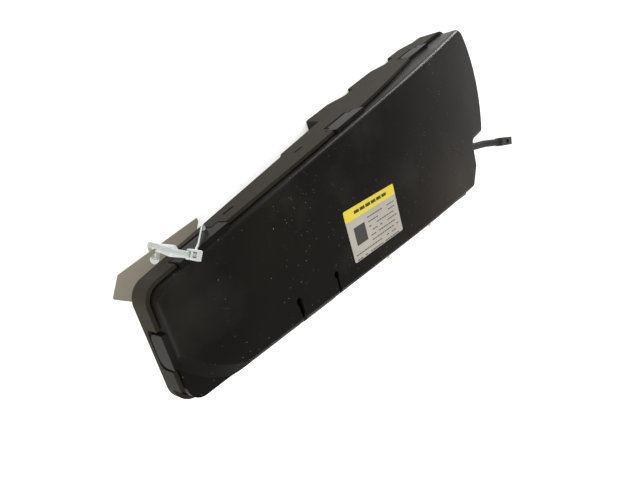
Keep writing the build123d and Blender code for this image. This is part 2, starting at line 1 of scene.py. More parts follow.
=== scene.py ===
import bpy
import bmesh
import math
import random
from mathutils import Matrix, Vector
from mathutils.bvhtree import BVHTree


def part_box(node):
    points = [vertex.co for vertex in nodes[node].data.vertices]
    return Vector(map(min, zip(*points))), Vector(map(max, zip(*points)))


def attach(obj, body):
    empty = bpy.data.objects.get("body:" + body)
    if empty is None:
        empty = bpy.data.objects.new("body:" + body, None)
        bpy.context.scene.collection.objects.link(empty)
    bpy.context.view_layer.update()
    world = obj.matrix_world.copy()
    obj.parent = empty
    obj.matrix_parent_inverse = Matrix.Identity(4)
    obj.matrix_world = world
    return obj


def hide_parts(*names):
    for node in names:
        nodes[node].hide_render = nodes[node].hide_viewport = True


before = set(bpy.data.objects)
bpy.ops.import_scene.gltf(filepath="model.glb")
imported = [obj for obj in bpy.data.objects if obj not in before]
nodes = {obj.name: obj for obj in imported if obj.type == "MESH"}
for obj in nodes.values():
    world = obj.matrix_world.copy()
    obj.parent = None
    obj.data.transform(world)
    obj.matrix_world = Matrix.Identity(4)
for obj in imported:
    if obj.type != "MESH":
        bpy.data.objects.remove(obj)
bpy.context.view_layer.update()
millimetre = 0.001
plainScene = bpy.context.scene
plainScene.view_settings.view_transform = "Standard"


# Small helpers for meshes and node trees

def addObject(name, mesh):
    piece = bpy.data.objects.new(name, mesh)
    plainScene.collection.objects.link(piece)
    return piece


def meshFrom(name, builder, smooth=True):
    shape = bmesh.new()
    builder(shape)
    bmesh.ops.recalc_face_normals(shape, faces=shape.faces)
    mesh = bpy.data.meshes.new(name)
    shape.to_mesh(mesh)
    shape.free()
    for face in mesh.polygons:
        face.use_smooth = smooth
    return addObject(name, mesh)


def bakePiece(piece):
    # The evaluated result becomes the piece's own plain mesh
    graph = bpy.context.evaluated_depsgraph_get()
    graph.update()
    mesh = bpy.data.meshes.new_from_object(piece.evaluated_get(graph), depsgraph=graph)
    name, source = piece.name, piece.data
    bpy.data.objects.remove(piece)
    if source.users == 0:
        bpy.data.meshes.remove(source)
    mesh.name = name
    return addObject(name, mesh)


def finishPiece(piece, body, material, replaced=()):
    piece.data.materials.clear()
    piece.data.materials.append(material)
    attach(piece, body)
    if replaced:
        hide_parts(*replaced)
    return piece


def newGroup(name, inputs, outputs):
    tree = bpy.data.node_groups.new(name, "ShaderNodeTree")
    for label, kind, value in inputs:
        socket = tree.interface.new_socket(name=label, in_out="INPUT", socket_type=kind)
        socket.default_value = value
    for label, kind in outputs:
        tree.interface.new_socket(name=label, in_out="OUTPUT", socket_type=kind)
    start = tree.nodes.new("NodeGroupInput")
    end = tree.nodes.new("NodeGroupOutput")
    return tree, start, end


def addNode(tree, kind, **settings):
    node = tree.nodes.new(kind)
    for key, value in settings.items():
        setattr(node, key, value)
    return node


def ramp(tree, source, low, high):
    node = addNode(tree, "ShaderNodeMapRange", clamp=True)
    node.inputs["From Min"].default_value = low
    node.inputs["From Max"].default_value = high
    tree.links.new(source, node.inputs["Value"])
    return node.outputs["Result"]


def mixColour(tree, mask, first, second):
    node = addNode(tree, "ShaderNodeMix", data_type="RGBA")
    for socket, value in ((node.inputs[6], first), (node.inputs[7], second)):
        if isinstance(value, bpy.types.NodeSocket):
            tree.links.new(value, socket)
        else:
            socket.default_value = (*value, 1)
    tree.links.new(mask, node.inputs[0])
    return node.outputs[2]


def mathNode(tree, operation, first, second):
    node = addNode(tree, "ShaderNodeMath", operation=operation)
    for socket, value in zip(node.inputs, (first, second)):
        if isinstance(value, bpy.types.NodeSocket):
            tree.links.new(value, socket)
        else:
            socket.default_value = value
    return node.outputs[0]


def placeGroup(tree, group, place, **values):
    node = addNode(tree, "ShaderNodeGroup", node_tree=group)
    tree.links.new(place, node.inputs["Place"])
    for key, value in values.items():
        node.inputs[key].default_value = value
    return node


def newGeometryTree(name, inputs):
    tree = bpy.data.node_groups.new(name, "GeometryNodeTree")
    tree.interface.new_socket(name="Points", in_out="INPUT", socket_type="NodeSocketGeometry")
    for label, kind, value in inputs:
        socket = tree.interface.new_socket(name=label, in_out="INPUT", socket_type=kind)
        if value is not None:
            socket.default_value = value
    tree.interface.new_socket(name="Result", in_out="OUTPUT", socket_type="NodeSocketGeometry")
    return tree, tree.nodes.new("NodeGroupInput"), tree.nodes.new("NodeGroupOutput")


def repeatTree(name, inputs, makeShape):
    # One shape on every point, its Z on the point's outward and its X on the point's along
    tree, start, end = newGeometryTree(name, inputs + [("Finish", "NodeSocketMaterial", None)])
    cloud = addNode(tree, "GeometryNodeMeshToPoints")
    tree.links.new(start.outputs["Points"], cloud.inputs["Mesh"])
    turn = addNode(tree, "FunctionNodeAxesToRotation", primary_axis="Z", secondary_axis="X")
    for label, socket in (("outward", "Primary Axis"), ("along", "Secondary Axis")):
        read = addNode(tree, "GeometryNodeInputNamedAttribute", data_type="FLOAT_VECTOR")
        read.inputs["Name"].default_value = label
        tree.links.new(read.outputs["Attribute"], turn.inputs[socket])
    copies = addNode(tree, "GeometryNodeInstanceOnPoints")
    tree.links.new(cloud.outputs["Points"], copies.inputs["Points"])
    tree.links.new(makeShape(tree, start), copies.inputs["Instance"])
    tree.links.new(turn.outputs["Rotation"], copies.inputs["Rotation"])
    solid = addNode(tree, "GeometryNodeRealizeInstances")
    tree.links.new(copies.outputs["Instances"], solid.inputs["Geometry"])
    painted = addNode(tree, "GeometryNodeSetMaterial")
    tree.links.new(solid.outputs["Geometry"], painted.inputs["Geometry"])
    tree.links.new(start.outputs["Finish"], painted.inputs["Material"])
    tree.links.new(painted.outputs["Geometry"], end.inputs["Result"])
    return tree


def blockShape(tree, start):
    block = addNode(tree, "GeometryNodeMeshCube")
    tree.links.new(start.outputs["Size"], block.inputs["Size"])
    return block.outputs["Mesh"]


def threadShape(tree, start):
    # A stitch: a low rounded bead
    bead = addNode(tree, "GeometryNodeMeshUVSphere")
    bead.inputs["Segments"].default_value = 8
    bead.inputs["Rings"].default_value = 5
    bead.inputs["Radius"].default_value = 0.5
    sized = addNode(tree, "GeometryNodeTransform")
    tree.links.new(bead.outputs["Mesh"], sized.inputs["Geometry"])
    tree.links.new(start.outputs["Size"], sized.inputs["Scale"])
    return sized.outputs["Geometry"]


def ringShape(tree, start):
    ring = addNode(tree, "GeometryNodeCurvePrimitiveCircle")
    ring.inputs["Resolution"].default_value = 40
    tree.links.new(start.outputs["Radius"], ring.inputs["Radius"])
    profile = addNode(tree, "GeometryNodeCurvePrimitiveCircle")
    profile.inputs["Resolution"].default_value = 8
    tree.links.new(start.outputs["Rib"], profile.inputs["Radius"])
    return sweepShape(tree, ring.outputs["Curve"], profile.outputs["Curve"])


def helixShape(tree, start):
    helix = addNode(tree, "GeometryNodeCurveSpiral")
    helix.inputs["Resolution"].default_value = 32
    for label, socket in (
        ("Turns", "Rotations"), ("Reach", "Height"),
        ("Radius", "Start Radius"), ("Radius", "End Radius"),
    ):
        tree.links.new(start.outputs[label], helix.inputs[socket])
    profile = addNode(tree, "GeometryNodeCurvePrimitiveCircle")
    profile.inputs["Resolution"].default_value = 4
    tree.links.new(start.outputs["Rib"], profile.inputs["Radius"])
    return sweepShape(tree, helix.outputs["Curve"], profile.outputs["Curve"])


def sweepShape(tree, path, profile):
    swept = addNode(tree, "GeometryNodeCurveToMesh")
    swept.inputs["Fill Caps"].default_value = True
    tree.links.new(path, swept.inputs["Curve"])
    tree.links.new(profile, swept.inputs["Profile Curve"])
    return swept.outputs["Mesh"]


blockRow = repeatTree("blockRow", [
    ("Size", "NodeSocketVector", (0.001, 0.001, 0.001)),
], blockShape)
stitchRow = repeatTree("stitchRow", [
    ("Size", "NodeSocketVector", (0.002, 0.0006, 0.0004)),
], threadShape)
ribRings = repeatTree("ribRings", [
    ("Radius", "NodeSocketFloat", 0.006), ("Rib", "NodeSocketFloat", 0.0004),
], ringShape)
screwThread = repeatTree("screwThread", [
    ("Radius", "NodeSocketFloat", 0.003), ("Rib", "NodeSocketFloat", 0.0003),
    ("Turns", "NodeSocketFloat", 12.0), ("Reach", "NodeSocketFloat", 0.012),
], helixShape)


def growOn(name, spots, tree, values):
    # spots holds place, along and outward of each copy
    mesh = bpy.data.meshes.new(name)
    mesh.from_pydata([spot[0] for spot in spots], [], [])
    for label, index in (("along", 1), ("outward", 2)):
        attribute = mesh.attributes.new(label, "FLOAT_VECTOR", "POINT")
        attribute.data.foreach_set("vector", [part for spot in spots for part in spot[index]])
    cloud = addObject(name, mesh)
    modifier = cloud.modifiers.new("copies", "NODES")
    modifier.node_group = tree
    for item in tree.interface.items_tree:
        if item.item_type == "SOCKET" and item.in_out == "INPUT" and item.name in values:
            modifier[item.identifier] = values[item.name]
    return bakePiece(cloud)


def finishGrown(piece, body):
    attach(piece, body)
    return piece


def roundedBlock(shape, size, place=(0, 0, 0), bevel=0.0004, segments=2):
    made = bmesh.ops.create_cube(shape, size=1.0)
    for vert in made["verts"]:
        vert.co = Vector(vert.co[axis] * size[axis] + place[axis] for axis in range(3))
    edges = list({edge for vert in made["verts"] for edge in vert.link_edges})
    if bevel:
        bmesh.ops.bevel(
            shape, geom=edges, offset=bevel, segments=segments, profile=0.5, affect="EDGES",
        )


# Shader groups shared by several finishes; Place is a position in metres

def mouldGrainGroup():
    tree, start, end = newGroup(
        "mouldGrain",
        [("Place", "NodeSocketVector", (0, 0, 0)), ("Grain", "NodeSocketFloat", 900.0)],
        [("Height", "NodeSocketFloat"), ("Cloud", "NodeSocketFloat")],
    )
    fine = addNode(tree, "ShaderNodeTexNoise")
    fine.inputs["Detail"].default_value = 3
    tree.links.new(start.outputs["Place"], fine.inputs["Vector"])
    tree.links.new(start.outputs["Grain"], fine.inputs["Scale"])
    cloud = addNode(tree, "ShaderNodeTexNoise")
    cloud.inputs["Scale"].default_value = 14
    cloud.inputs["Detail"].default_value = 5
    tree.links.new(start.outputs["Place"], cloud.inputs["Vector"])
    tree.links.new(fine.outputs["Fac"], end.inputs["Height"])
    tree.links.new(ramp(tree, cloud.outputs["Fac"], 0.35, 0.7), end.inputs["Cloud"])
    return tree


def scuffGroup():
    # Short thin hairlines, and the rubbed patches that they lie in
    tree, start, end = newGroup(
        "handlingScuffs",
        [
            ("Place", "NodeSocketVector", (0, 0, 0)),
            ("Density", "NodeSocketFloat", 0.5),
            ("Turn", "NodeSocketFloat", 0.6),
        ],
        [("Hairlines", "NodeSocketFloat"), ("Rubbed", "NodeSocketFloat")],
    )
    turned = addNode(tree, "ShaderNodeVectorRotate", rotation_type="Z_AXIS")
    tree.links.new(start.outputs["Place"], turned.inputs["Vector"])
    tree.links.new(start.outputs["Turn"], turned.inputs["Angle"])
    bent = addNode(tree, "ShaderNodeTexNoise")
    bent.inputs["Scale"].default_value = 18
    tree.links.new(turned.outputs["Vector"], bent.inputs["Vector"])
    push = addNode(tree, "ShaderNodeVectorMath", operation="MULTIPLY_ADD")
    push.inputs[1].default_value = (0.02, 0.02, 0.02)
    tree.links.new(bent.outputs["Color"], push.inputs[0])
    tree.links.new(turned.outputs["Vector"], push.inputs[2])
    stretch = addNode(tree, "ShaderNodeMapping")
    stretch.inputs["Scale"].default_value = (55, 900, 120)
    tree.links.new(push.outputs["Vector"], stretch.inputs["Vector"])
    lines = addNode(tree, "ShaderNodeTexNoise")
    lines.inputs["Scale"].default_value = 1
    lines.inputs["Detail"].default_value = 2
    tree.links.new(stretch.outputs["Vector"], lines.inputs["Vector"])
    patch = addNode(tree, "ShaderNodeTexNoise")
    patch.inputs["Scale"].default_value = 22
    patch.inputs["Detail"].default_value = 6
    tree.links.new(start.outputs["Place"], patch.inputs["Vector"])
    rubbed = ramp(tree, patch.outputs["Fac"], 0.5, 0.75)
    thin = ramp(tree, lines.outputs["Fac"], 0.7, 0.8)
    both = mathNode(tree, "MULTIPLY", thin, rubbed)
    hairlines = mathNode(tree, "MULTIPLY", both, start.outputs["Density"])
    tree.links.new(hairlines, end.inputs["Hairlines"])
    tree.links.new(rubbed, end.inputs["Rubbed"])
    return tree


def lintGroup():
    # Fine pale dust and a few larger crumbs, denser in drifts
    tree, start, end = newGroup(
        "dustSpecks",
        [
            ("Place", "NodeSocketVector", (0, 0, 0)),
            ("Spacing", "NodeSocketFloat", 560.0),
            ("Amount", "NodeSocketFloat", 0.1),
        ],
        [("Specks", "NodeSocketFloat")],
    )
    drift = addNode(tree, "ShaderNodeTexNoise")
    drift.inputs["Scale"].default_value = 16
    drift.inputs["Detail"].default_value = 3
    tree.links.new(start.outputs["Place"], drift.inputs["Vector"])
    drifts = ramp(tree, drift.outputs["Fac"], 0.4, 0.7)
    dense = mathNode(tree, "MULTIPLY", drifts, start.outputs["Amount"])
    layers = []
    for coarse, size, share in ((1.0, 0.14, 1.0), (0.45, 0.08, 0.35)):
        cells = addNode(tree, "ShaderNodeTexVoronoi")
        tree.links.new(start.outputs["Place"], cells.inputs["Vector"])
        scale = mathNode(tree, "MULTIPLY", start.outputs["Spacing"], coarse)
        tree.links.new(scale, cells.inputs["Scale"])
        near = ramp(tree, cells.outputs["Distance"], size, size * 0.5)
        shade = addNode(tree, "ShaderNodeSeparateColor")
        tree.links.new(cells.outputs["Color"], shade.inputs["Color"])
        limit = mathNode(tree, "MULTIPLY", dense, share)
        few = mathNode(tree, "LESS_THAN", shade.outputs["Red"], limit)
        weight = mathNode(tree, "MULTIPLY", shade.outputs["Green"], near)
        layers.append(mathNode(tree, "MULTIPLY", weight, few))
    tree.links.new(mathNode(tree, "MAXIMUM", *layers), end.inputs["Specks"])
    return tree


def weaveGroup():
    tree, start, end = newGroup(
        "plainWeave",
        [("Place", "NodeSocketVector", (0, 0, 0)), ("Threads", "NodeSocketFloat", 1400.0)],
        [("Height", "NodeSocketFloat")],
    )
    waves = []
    for axis in ("X", "Y"):
        wave = addNode(tree, "ShaderNodeTexWave", bands_direction=axis)
        tree.links.new(start.outputs["Place"], wave.inputs["Vector"])
        tree.links.new(start.outputs["Threads"], wave.inputs["Scale"])
        waves.append(wave.outputs["Fac"])
    tree.links.new(mathNode(tree, "MAXIMUM", *waves), end.inputs["Height"])
    return tree


mouldGrain = mouldGrainGroup()
handlingScuffs = scuffGroup()
dustSpecks = lintGroup()
plainWeave = weaveGroup()


def startMaterial(name, colour, roughness, metallic=0.0):
    material = bpy.data.materials.new(name)
    material.use_nodes = True
    tree = material.node_tree
    surface = tree.nodes["Principled BSDF"]
    surface.inputs["Base Color"].default_value = (*colour, 1)
    surface.inputs["Roughness"].default_value = roughness
    surface.inputs["Metallic"].default_value = metallic
    place = addNode(tree, "ShaderNodeTexCoord").outputs["Object"]
    return material, tree, surface, place


def addBump(tree, surface, height, strength, distance):
    bump = addNode(tree, "ShaderNodeBump")
    bump.inputs["Strength"].default_value = strength
    bump.inputs["Distance"].default_value = distance
    tree.links.new(height, bump.inputs["Height"])
    tree.links.new(bump.outputs["Normal"], surface.inputs["Normal"])


def mouldedPlastic(
    name, colour, worn, roughness, grain, scuffs=0.0, specks=0.0, turn=0.6, gloss=0.35,
):
    material, tree, surface, place = startMaterial(name, colour, roughness)
    surface.inputs["Specular IOR Level"].default_value = gloss
    mould = placeGroup(tree, mouldGrain, place, Grain=grain)
    scuff = placeGroup(tree, handlingScuffs, place, Density=scuffs, Turn=turn)
    lint = placeGroup(tree, dustSpecks, place, Amount=specks)
    clouded = mixColour(tree, mould.outputs["Cloud"], colour, [1.45 * part for part in colour])
    film = mathNode(tree, "MULTIPLY", scuff.outputs["Rubbed"], 0.11 * scuffs)
    hazed = mixColour(tree, film, clouded, worn)
    rubbed = mixColour(tree, scuff.outputs["Hairlines"], hazed, worn)
    speckled = mixColour(tree, lint.outputs["Specks"], rubbed, (0.32, 0.3, 0.27))
    tree.links.new(speckled, surface.inputs["Base Color"])
    low = mathNode(tree, "MULTIPLY", mould.outputs["Cloud"], 0.1)
    rough = mathNode(tree, "ADD", low, roughness - 0.05)
    patchy = mathNode(tree, "MULTIPLY", scuff.outputs["Rubbed"], 0.1)
    tree.links.new(mathNode(tree, "ADD", rough, patchy), surface.inputs["Roughness"])
    addBump(tree, surface, mould.outputs["Height"], 0.16, 0.00015)
    return material


def metalFinish(name, colour, roughness, grain=500):
    material, tree, surface, place = startMaterial(name, colour, roughness, 1.0)
    mould = placeGroup(tree, mouldGrain, place, Grain=grain)
    tinted = mixColour(tree, mould.outputs["Cloud"], colour, [0.8 * part for part in colour])
    tree.links.new(tinted, surface.inputs["Base Color"])
    rough = mathNode(tree, "MULTIPLY", mould.outputs["Cloud"], 0.15)
    tree.links.new(mathNode(tree, "ADD", rough, roughness), surface.inputs["Roughness"])
    addBump(tree, surface, mould.outputs["Height"], 0.15, 0.0001)
    return material


def clothFinish(name, colour, threads=1400.0):
    material, tree, surface, place = startMaterial(name, colour, 0.85)
    weave = placeGroup(tree, plainWeave, place, Threads=threads)
    mould = placeGroup(tree, mouldGrain, place, Grain=300)
    shaded = mixColour(tree, mould.outputs["Cloud"], colour, [0.82 * part for part in colour])
    tree.links.new(shaded, surface.inputs["Base Color"])
    addBump(tree, surface, weave.outputs["Height"], 0.4, 0.0002)
    return material


def nylonFinish(name):
    material, tree, surface, place = startMaterial(name, (0.5, 0.51, 0.49), 0.32)
    surface.inputs["Subsurface Weight"].default_value = 0.5
    surface.inputs["Subsurface Radius"].default_value = (0.004, 0.004, 0.004)
    mould = placeGroup(tree, mouldGrain, place, Grain=200)
    shaded = mixColour(tree, mould.outputs["Cloud"], (0.5, 0.51, 0.49), (0.43, 0.44, 0.42))
    tree.links.new(shaded, surface.inputs["Base Color"])
    addBump(tree, surface, mould.outputs["Height"], 0.1, 0.0001)
    return material


coverPlastic = mouldedPlastic(
    "coverPlastic", (0.0062, 0.0052, 0.0044), worn=(0.1, 0.092, 0.084), roughness=0.31,
    grain=1500, scuffs=0.8, specks=0.6, gloss=0.032,
)
# The case's brown tint is painted warm reflection from the far side; the plastic's own colour is a
# near-black grey
casePlasticPaintedWarm = mouldedPlastic(
    "casePlasticPaintedWarm", (0.0185, 0.0157, 0.0118), worn=(0.09, 0.078, 0.06), roughness=0.6,
    grain=1300, scuffs=0.6, specks=0.1, turn=0.2, gloss=0.04,
)
cableJacket = mouldedPlastic(
    "cableJacket", (0.009, 0.009, 0.009), worn=(0.06, 0.06, 0.06), roughness=0.55,
    grain=2200, scuffs=0.2, specks=0.01, gloss=0.05,
)
plugPlastic = mouldedPlastic(
    "plugPlastic", (0.015, 0.015, 0.016), worn=(0.08, 0.08, 0.08), roughness=0.4,
    grain=1500, scuffs=0.1, gloss=0.07,
)
lockPlastic = mouldedPlastic(
    "lockPlastic", (0.65, 0.28, 0.03), worn=(0.7, 0.4, 0.1), roughness=0.35,
    grain=1500, scuffs=0.1,
)
sealRubber = mouldedPlastic(
    "sealRubber", (0.012, 0.012, 0.012), worn=(0.05, 0.05, 0.05), roughness=0.6,
    grain=1800, scuffs=0.1, specks=0.01, gloss=0.05,
)
leadYellow = mouldedPlastic(
    "leadYellow", (0.7, 0.5, 0.03), worn=(0.7, 0.6, 0.2), roughness=0.4, grain=2500,
)
padFoam = mouldedPlastic(
    "padFoam", (0.05, 0.05, 0.052), worn=(0.07, 0.07, 0.07), roughness=0.9, grain=700,
)
labelInk = mouldedPlastic(
    "labelInk", (0.038, 0.036, 0.034), worn=(0.14, 0.13, 0.12), roughness=0.5,
    grain=900, scuffs=0.5, gloss=0.1,
)
portShadow = mouldedPlastic(
    "portShadow", (0.004, 0.004, 0.004), worn=(0.01, 0.01, 0.01), roughness=0.7, grain=1500,
)
platedSteel = metalFinish("platedSteel", (0.62, 0.62, 0.6), 0.3)
zincSteel = metalFinish("zincSteel", (0.56, 0.57, 0.58), 0.38, 350)
bareSheet = metalFinish("bareSheet", (0.6, 0.59, 0.57), 0.35)
studSteel = metalFinish("studSteel", (0.66, 0.6, 0.44), 0.33)
capAluminium = metalFinish("capAluminium", (0.72, 0.72, 0.73), 0.3, 800)
primerBrass = metalFinish("primerBrass", (0.72, 0.6, 0.33), 0.28)
cushionCloth = clothFinish("cushionCloth", (0.72, 0.71, 0.66))
strapCloth = clothFinish("strapCloth", (0.5, 0.49, 0.44), 900.0)
seamThread = clothFinish("seamThread", (0.45, 0.43, 0.38), 5000.0)
tieNylon = nylonFinish("tieNylon")
print("finishes made")


def paintNodes():
    finishes = {
        "housing_base": casePlasticPaintedWarm, "cover_shell": coverPlastic, "cable_grommet": sealRubber,
        "inflator_tube": platedSteel, "inflator_end_cap": platedSteel, "diffuser_cap": zincSteel,
        "initiator_holder": capAluminium, "initiator": primerBrass, "inflator_bracket": zincSteel,
        "heat_shield": bareSheet, "squib_plug": plugPlastic, "plug_lock": lockPlastic,
        "inner_lead_1": leadYellow, "inner_lead_2": cableJacket,
    }
    prefixes = {"hinge_film": casePlasticPaintedWarm, "clamp_band": zincSteel, "mounting_stud": studSteel}
    for name, node in nodes.items():
        finish = finishes.get(name)
        for prefix, other in prefixes.items():
            finish = other if name.startswith(prefix) else finish
        if finish:
            node.data.materials.clear()
            node.data.materials.append(finish)


paintNodes()
print("carried-over pieces painted")


# Camera, floor and lights

def makeCamera():
    view = {"place": (-0.3541, 0.0721, 0.2609), "lens": 27.55, "sensor": 36.0}
    right = Vector((0.6323, -0.2592, 0.7300))
    up = Vector((0.3935, 0.9192, -0.0144))
    back = Vector((-0.6673, 0.2964, 0.6833))
    turn = Matrix((right, up, back)).transposed().to_4x4()
    camera = bpy.data.cameras.new("viewCamera")
    camera.lens = view["lens"]
    camera.sensor_width = view["sensor"]
    camera.clip_start = 0.01
    holder = bpy.data.objects.new("viewCamera", camera)
    plainScene.collection.objects.link(holder)
    holder.matrix_world = Matrix.Translation(view["place"]) @ turn
    plainScene.camera = holder


def makeFloor():
    floorSizes = {"half": 4.0, "colour": (0.82, 0.82, 0.81), "glow": 0.42}
    half = floorSizes["half"]
    mesh = bpy.data.meshes.new("studioFloor")
    corners = [(-half, -half, 0), (half, -half, 0), (half, half, 0), (-half, half, 0)]
    mesh.from_pydata(corners, [], [(0, 1, 2, 3)])
    floor = addObject("studioFloor", mesh)
    material, tree, surface, place = startMaterial("studioPaper", floorSizes["colour"], 0.9)
    path = addNode(tree, "ShaderNodeLightPath")
    seen = mathNode(tree, "MAXIMUM", path.outputs["Is Camera Ray"], path.outputs["Is Glossy Ray"])
    seen = mathNode(tree, "MAXIMUM", seen, path.outputs["Is Transmission Ray"])
    glow = mathNode(tree, "MULTIPLY", seen, floorSizes["glow"])
    surface.inputs["Emission Color"].default_value = (1, 1, 1, 1)
    tree.links.new(glow, surface.inputs["Emission Strength"])
    mesh.materials.append(material)


def addLamp(name, place, target, size, power, colour):
    lamp = bpy.data.lights.new(name, "AREA")
    lamp.shape = "RECTANGLE"
    lamp.size = size[0]
    lamp.size_y = size[1]
    lamp.energy = power
    lamp.color = colour
    holder = bpy.data.objects.new(name, lamp)
    plainScene.collection.objects.link(holder)
    holder.location = place
    holder.rotation_euler = (Vector(target) - Vector(place)).to_track_quat("-Z", "Y").to_euler()


def makeLights():
    world = bpy.data.worlds.new("studioWorld")
    plainScene.world = world
    world.use_nodes = True
    tree = world.node_tree
    background = tree.nodes["Background"]
    path = addNode(tree, "ShaderNodeLightPath")
    seen = mathNode(tree, "MAXIMUM", path.outputs["Is Camera Ray"], path.outputs["Is Glossy Ray"])
    seen = mathNode(tree, "MAXIMUM", seen, path.outputs["Is Transmission Ray"])
    bright = mathNode(tree, "MULTIPLY", seen, 0.5)
    background.inputs["Color"].default_value = (1, 1, 1, 1)
    tree.links.new(mathNode(tree, "ADD", bright, 0.5), background.inputs["Strength"])
    addLamp("overheadSoft", (-0.5, 0.5, 1.5), (0, 0, 0), (1.0, 1.0), 8.5, (1, 0.99, 0.97))
    addLamp("endWindow", (-1.4, -0.3, 0.5), (-0.1, 0, 0.02), (0.9, 0.6), 16, (0.93, 1, 0.99))
    addLamp("sideStrip", (0.9, 1.05, 0.22), (0, 0, 0.05), (1.1, 0.1), 26, (0.97, 0.98, 1))
    addLamp("farStrip", (0.5, -1.25, 0.55), (-0.1, 0, 0.05), (0.8, 0.2), 9, (1, 0.98, 0.95))
    addLamp("warmWall", (1.5, -0.75, 0.55), (0.05, 0, 0.05), (0.8, 0.5), 1.6, (1, 0.78, 0.55))


makeCamera()
makeFloor()
makeLights()
print("studio ready")


# Free harness cable, its connector and the outlet in the case

def axisFrame(origin, forward, up=(0, 0, 1)):
    # Matrix whose X runs forward and whose Z leans to up
    x = Vector(forward).normalized()
    y = Vector(up).cross(x).normalized()
    turn = Matrix((x, y, x.cross(y))).transposed().to_4x4()
    return Matrix.Translation(origin) @ turn


def moved(piece, matrix):
    piece.data.transform(matrix)
    return piece


cableRoute = [
    (99.5, -29.5, 17.6),
    (111.5, -29.5, 17.6),
    (134.0, -33.0, 16.7),
    (163.0, -39.0, 12.2),
    (194.0, -44.0, 6.8),
    (221.5, -50.0, 5.0),
    (235.0, -52.8, 5.0),
]


def makeConnector():
    plug = {
        "length": 0.038, "width": 0.010, "height": 0.008, "neck": 0.008, "neckRadius": 0.0046,
        "neckSunk": 0.0008, "wall": 0.0011, "latchWidth": 0.0042, "armHeight": 0.0009,
        "railWidth": 0.0007, "railAside": 0.0031, "ribPitch": 0.0016, "ribStart": 0.0016,
        "rib": (0.0006, 0.0046, 0.0008), "ribsInARow": 6, "coreBack": 0.004,
        # port is the size of each painted-shade plate that stands in for a port opening
        "port": (0.0014, 0.0014, 0.00012), "portAside": 0.0014,
        "sealStart": 0.0012, "sealPitch": 0.0018, "sealRib": 0.0004, "sealRibs": 4,
    }
    length, width, height, neck = (plug[key] for key in ("length", "width", "height", "neck"))
    end = Vector(cableRoute[-1]) * millimetre
    plugFrame = axisFrame(end, Vector(cableRoute[-1]) - Vector(cableRoute[-2]))
    shellLength = length - neck
    back = shellLength * 0.42
    front = shellLength - back
    armTop = height / 2 - plug["armHeight"] / 2

    def build(shape):
        bmesh.ops.create_cone(
            shape, cap_ends=True, segments=32, depth=neck + plug["neckSunk"],
            radius1=plug["neckRadius"], radius2=plug["neckRadius"],
            matrix=Matrix.Translation((neck / 2, 0, 0)) @ Matrix.Rotation(math.pi / 2, 4, "Y"),
        )
        inner = (width - 0.0012, height - 0.0012)
        roundedBlock(shape, (back, *inner), (neck + back / 2, 0, 0), 0.0010, 3)
        for side in (-1, 1):   # hood walls round the mating face, and rails beside the latch
            roundedBlock(
                shape, (front, plug["wall"], height),
                (length - front / 2, side * (width / 2 - plug["wall"] / 2), 0),
            )
            roundedBlock(
                shape, (front, width - 0.0010, plug["wall"]),
                (length - front / 2, 0, side * (height / 2 - plug["wall"] / 2)),
            )
            roundedBlock(
                shape, (shellLength * 0.5, plug["railWidth"], plug["armHeight"]),
                (neck + shellLength * 0.42, side * plug["railAside"], armTop), 0.0002,
            )
        core = (front - plug["coreBack"], width - 0.0040, height - 0.0036)
        roundedBlock(shape, core, (neck + back + core[0] / 2, 0, 0))
        roundedBlock(   # latch arm
            shape, (shellLength * 0.62, plug["latchWidth"], plug["armHeight"]),
            (neck + shellLength * 0.36, 0, armTop), 0.0003,
        )

    body = moved(meshFrom("harnessPlug", build, smooth=False), plugFrame)
    body.data.materials.append(plugPlastic)
    # The port openings are thin near-black plates on the core's face: painted shade standing in
    # for the holes
    gripSpots, portShadeSpots = [], []
    for side in (-1, 1):
        for step in range(plug["ribsInARow"]):
            x = neck + plug["ribStart"] + step * plug["ribPitch"]
            gripSpots.append(((x, side * (width / 2 - 0.0004), 0), (1, 0, 0), (0, side, 0)))
        face = length - plug["coreBack"]
        portShadeSpots.append(((face, side * plug["portAside"], 0), (0, 1, 0), (1, 0, 0)))
    sealSpots = [
        ((plug["sealStart"] + plug["sealPitch"] * step, 0, 0), (0, 0, 1), (1, 0, 0))
        for step in range(plug["sealRibs"])
    ]
    ribs = growOn("harnessPlugRibs", gripSpots, blockRow, {
        "Size": plug["rib"], "Finish": plugPlastic,
    })
    portShades = growOn("harnessPlugPortShades", portShadeSpots, blockRow, {
        "Size": plug["port"], "Finish": portShadow,
    })
    rings = growOn("harnessPlugSeal", sealSpots, ribRings, {
        "Radius": plug["neckRadius"] - 0.0001, "Rib": plug["sealRib"], "Finish": sealRubber,
    })
    for piece in (ribs, portShades, rings):
        moved(piece, plugFrame)
    pieces = [body, ribs, portShades, rings]
    for piece in pieces:
        finishGrown(piece, "housing")
    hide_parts("harness_connector")
    return pieces


def makeHarness():
    harness = {"radius": 0.004, "length": 0.1385, "exit": (0.0995, -0.0295, 0.0176)}
    outlet = {"start": 0.0925, "pitch": 0.0021, "ribs": 4, "radius": 0.0056, "rib": 0.0006}
    curve = bpy.data.curves.new("harnessCable", "CURVE")
    curve.dimensions = "3D"
    curve.bevel_depth = harness["radius"]
    curve.bevel_resolution = 6
    curve.use_fill_caps = True
    line = curve.splines.new("NURBS")
    line.points.add(len(cableRoute) - 1)
    for point, place in zip(line.points, cableRoute):
        point.co = (*(millimetre * part for part in place), 1)
    line.order_u = 3
    line.use_endpoint_u = True
    line.resolution_u = 16
    cable = addObject("harnessCable", curve)
    curve.materials.append(cableJacket)
    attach(cable, "housing")
    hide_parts("harness_cable")
    spots = [
        ((outlet["start"] + outlet["pitch"] * step, *harness["exit"][1:]), (0, 0, 1), (1, 0, 0))
        for step in range(outlet["ribs"])
    ]
    ribs = growOn("outletRibs", spots, ribRings, {
        "Radius": outlet["radius"], "Rib": outlet["rib"], "Finish": sealRubber,
    })
    finishGrown(ribs, "housing")
    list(makeConnector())


makeHarness()
print("harness laid")


# Cable tie: one strap from the head through the case's slot and the tag's hole

